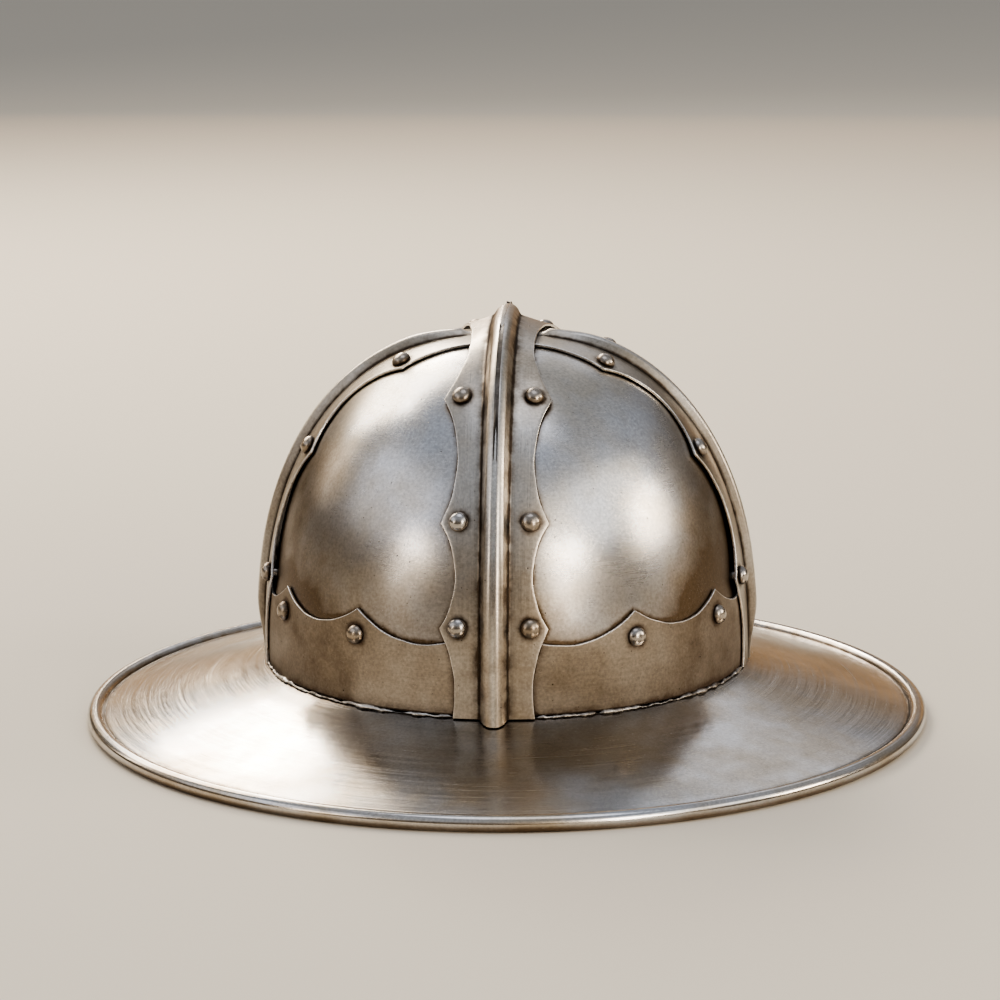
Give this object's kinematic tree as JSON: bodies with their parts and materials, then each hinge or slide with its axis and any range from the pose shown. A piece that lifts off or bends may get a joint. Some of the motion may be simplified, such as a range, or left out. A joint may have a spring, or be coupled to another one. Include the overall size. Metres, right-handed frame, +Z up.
{
  "type": "kettle hat",
  "caption": "Riveted steel kettle hat: dished crown plates under keeled bands and a scalloped brow band, on a wide sloping brim with a rolled edge.",
  "frame": {"origin": "on the surface the hat rests on, under the middle of its brim", "axes": "+Z up through the comb, -Y to the front, +X to the right as seen from the front"},
  "size_m": [0.3828, 0.3956, 0.1865],
  "materials": {
    "brim_steel": "satin, brushed round the brim",
    "plate_steel": "satin polished with fine pits and a brown patina",
    "band_steel": "brushed, dark patina in the corners and bright worn edges",
    "rivet_steel": "polished domes"
  },
  "bodies": {
    "root": {"brim": "brim_steel", "plate_front_right": "plate_steel", "plate_back_right": "plate_steel", "plate_back_left": "plate_steel", "plate_front_left": "plate_steel", "brow_band": "band_steel", "comb_band": "band_steel", "side_band_left": "band_steel", "side_band_right": "band_steel", "rivet_comb_front_left_1": "rivet_steel", "rivet_comb_front_left_2": "rivet_steel", "rivet_comb_front_left_3": "rivet_steel", "rivet_comb_front_right_1": "rivet_steel", "rivet_comb_front_right_2": "rivet_steel", "rivet_comb_front_right_3": "rivet_steel", "rivet_comb_back_left_1": "rivet_steel", "rivet_comb_back_left_2": "rivet_steel", "rivet_comb_back_left_3": "rivet_steel", "rivet_comb_back_right_1": "rivet_steel", "rivet_comb_back_right_2": "rivet_steel", "rivet_comb_back_right_3": "rivet_steel", "rivet_side_left_front_1": "rivet_steel", "rivet_side_left_front_2": "rivet_steel", "rivet_side_left_front_3": "rivet_steel", "rivet_side_left_back_1": "rivet_steel", "rivet_side_left_back_2": "rivet_steel", "rivet_side_left_back_3": "rivet_steel", "rivet_side_right_front_1": "rivet_steel", "rivet_side_right_front_2": "rivet_steel", "rivet_side_right_front_3": "rivet_steel", "rivet_side_right_back_1": "rivet_steel", "rivet_side_right_back_2": "rivet_steel", "rivet_side_right_back_3": "rivet_steel", "rivet_brow_front_right_1": "rivet_steel", "rivet_brow_front_right_2": "rivet_steel", "rivet_brow_back_right_1": "rivet_steel", "rivet_brow_back_right_2": "rivet_steel", "rivet_brow_back_left_1": "rivet_steel", "rivet_brow_back_left_2": "rivet_steel", "rivet_brow_front_left_1": "rivet_steel", "rivet_brow_front_left_2": "rivet_steel"}
  },
  "joints": []
}
